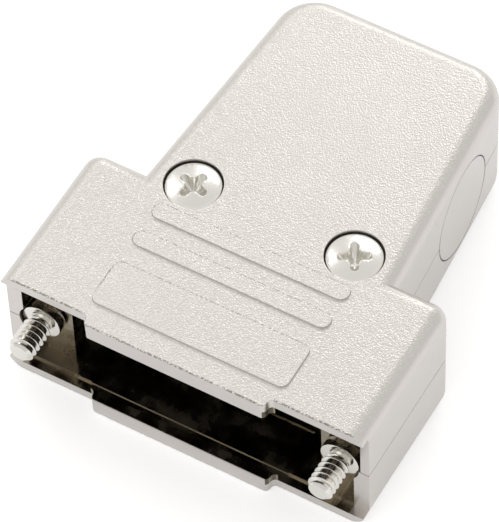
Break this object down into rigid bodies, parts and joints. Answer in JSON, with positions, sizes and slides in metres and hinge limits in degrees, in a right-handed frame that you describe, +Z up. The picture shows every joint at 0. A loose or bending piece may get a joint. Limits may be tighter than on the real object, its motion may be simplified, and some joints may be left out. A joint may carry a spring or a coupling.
{
  "type": "d-sub hood",
  "caption": "Two-half metal hood for a D-sub cable connector: wide front box with flange slot and captive jackscrews, tapered neck with side and rear cable entries and blanking plugs.",
  "frame": {"origin": "midway between the two jackscrew axes, on the front plane of the side lips", "axes": "+X across the hood, +Y from the connector face towards the cable end, +Z up out of the face with the assembly screws; the halves meet on Z = 0"},
  "size_m": [0.0402, 0.048, 0.0152],
  "materials": {
    "cast_shell": "nickel-plated zinc die casting, fine spark-eroded texture on the broad faces, satin sides",
    "assembly_screw": "bright nickel-plated steel",
    "jackscrew": "bright nickel-plated turned steel",
    "plug": "nickel-plated zinc die casting, satin",
    "clamp_strap": "zinc-plated pressed steel",
    "clamp_screw": "bright nickel-plated steel"
  },
  "bodies": {
    "hood": {"top_shell": "cast_shell", "bottom_shell": "cast_shell", "assembly_screw_left": "assembly_screw", "assembly_screw_right": "assembly_screw", "plug_left": "plug", "plug_right": "plug", "clamp_upper": "clamp_strap", "clamp_lower": "clamp_strap", "clamp_screw_left": "clamp_screw", "clamp_screw_right": "clamp_screw"},
    "jackscrew_left": {"jackscrew_left": "jackscrew"},
    "jackscrew_right": {"jackscrew_right": "jackscrew"}
  },
  "joints": [
    {"name": "jackscrew_left_turn", "type": "hinge", "parent": "hood", "child": "jackscrew_left", "pos_m": [-0.01666, 0.01, 0], "axis": [0, 1, 0], "continuous": true},
    {"name": "jackscrew_right_turn", "type": "hinge", "parent": "hood", "child": "jackscrew_right", "pos_m": [0.01666, 0.01, 0], "axis": [0, 1, 0], "continuous": true}
  ]
}
